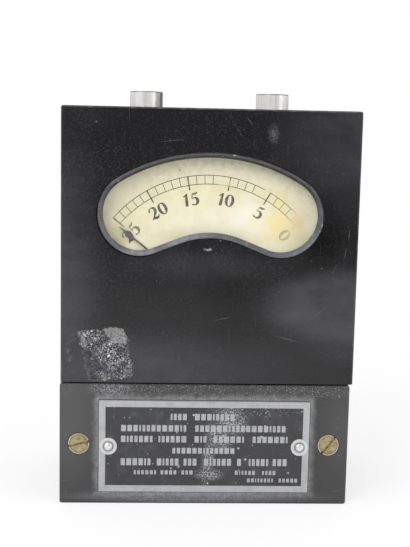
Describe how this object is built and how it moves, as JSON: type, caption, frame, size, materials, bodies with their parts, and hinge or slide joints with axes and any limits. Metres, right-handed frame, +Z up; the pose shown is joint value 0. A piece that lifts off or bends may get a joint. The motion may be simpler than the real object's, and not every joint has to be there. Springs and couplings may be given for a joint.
{
  "type": "blasting galvanometer",
  "caption": "Box-shaped moving-coil circuit tester with a kidney window over an arc scale, a screwed battery cover below and contact studs on top.",
  "frame": {"origin": "centre of the bounding box on the surface that the instrument stands on", "axes": "+Z up towards the contact studs, the window and the battery cover face -Y, +X to the right of someone who reads the dial"},
  "size_m": [0.0891, 0.0524, 0.126],
  "materials": {
    "phenolic": "satin",
    "cover_phenolic": "satin",
    "bezel": "satin",
    "glass": "gloss",
    "dark_metal": "satin",
    "pointer_metal": "satin",
    "cream_paint": "matte",
    "brass": "satin",
    "nickel": "satin",
    "aluminium": "satin",
    "iron": "satin",
    "copper": "satin",
    "cell_jacket": "matte",
    "insulation": "matte"
  },
  "bodies": {
    "case": {"case_shell": "phenolic", "back_plate": "phenolic", "back_screw_1": "brass", "back_screw_2": "brass", "back_screw_3": "brass", "back_screw_4": "brass", "cover_insert_left": "brass", "cover_insert_right": "brass", "window_bezel": "bezel", "window_glass": "glass", "glass_retainer": "dark_metal", "dial_plate": "cream_paint", "dial_screw_left": "brass", "dial_screw_right": "brass", "dial_pillar_left": "brass", "dial_pillar_right": "brass", "magnet": "iron", "pole_piece_left": "iron", "pole_piece_right": "iron", "iron_core": "iron", "core_support": "brass", "movement_plate": "brass", "movement_screw_1": "nickel", "movement_screw_2": "nickel", "movement_screw_3": "nickel", "movement_screw_4": "nickel", "front_bridge": "brass", "rear_bridge": "brass", "front_bridge_screw_left": "nickel", "front_bridge_screw_right": "nickel", "jewel_screw_front": "brass", "jewel_screw_rear": "brass", "hairspring_rear": "brass", "contact_stud_left": "nickel", "contact_stud_right": "nickel", "stud_nut_left": "brass", "stud_nut_right": "brass", "solder_lug_left": "brass", "solder_lug_right": "brass", "battery_cell": "cell_jacket", "battery_clip_left": "brass", "battery_clip_right": "brass", "resistor_spool": "copper", "lead_stud_to_battery": "insulation", "lead_spool_to_bridge": "insulation", "lead_bridge_to_stud": "insulation"},
    "moving_system": {"moving_coil": "copper", "pivot_front": "nickel", "pivot_rear": "nickel", "balance_cross": "brass", "pointer": "pointer_metal", "balance_nut": "brass"},
    "zero_lever": {"zero_adjuster": "brass", "hairspring_front": "brass"},
    "cover": {"battery_cover": "cover_phenolic", "nameplate": "aluminium", "nameplate_rivet_left": "aluminium", "nameplate_rivet_right": "aluminium"},
    "left_screw": {"cover_screw_left": "brass"},
    "right_screw": {"cover_screw_right": "brass"}
  },
  "joints": [
    {"name": "pointer_swing", "type": "hinge", "parent": "case", "child": "moving_system", "pos_m": [0, 0, 0.0634], "axis": [0, 1, 0], "range_deg": [-1.5, 103.9], "stiffness_Nm_per_rad": 0.0000056},
    {"name": "zero_adjust", "type": "hinge", "parent": "case", "child": "zero_lever", "pos_m": [0, 0, 0.0634], "axis": [0, 1, 0], "range_deg": [-12, 12]},
    {"name": "cover_slide", "type": "slide", "parent": "case", "child": "cover", "axis": [0, -1, 0], "range_m": [0, 0.05]},
    {"name": "cover_screw_left_turn", "type": "hinge", "parent": "cover", "child": "left_screw", "pos_m": [-0.0389, -0.0245, 0.01885], "axis": [0, 1, 0], "continuous": true},
    {"name": "cover_screw_right_turn", "type": "hinge", "parent": "cover", "child": "right_screw", "pos_m": [0.0377, -0.0245, 0.01885], "axis": [0, 1, 0], "continuous": true}
  ]
}
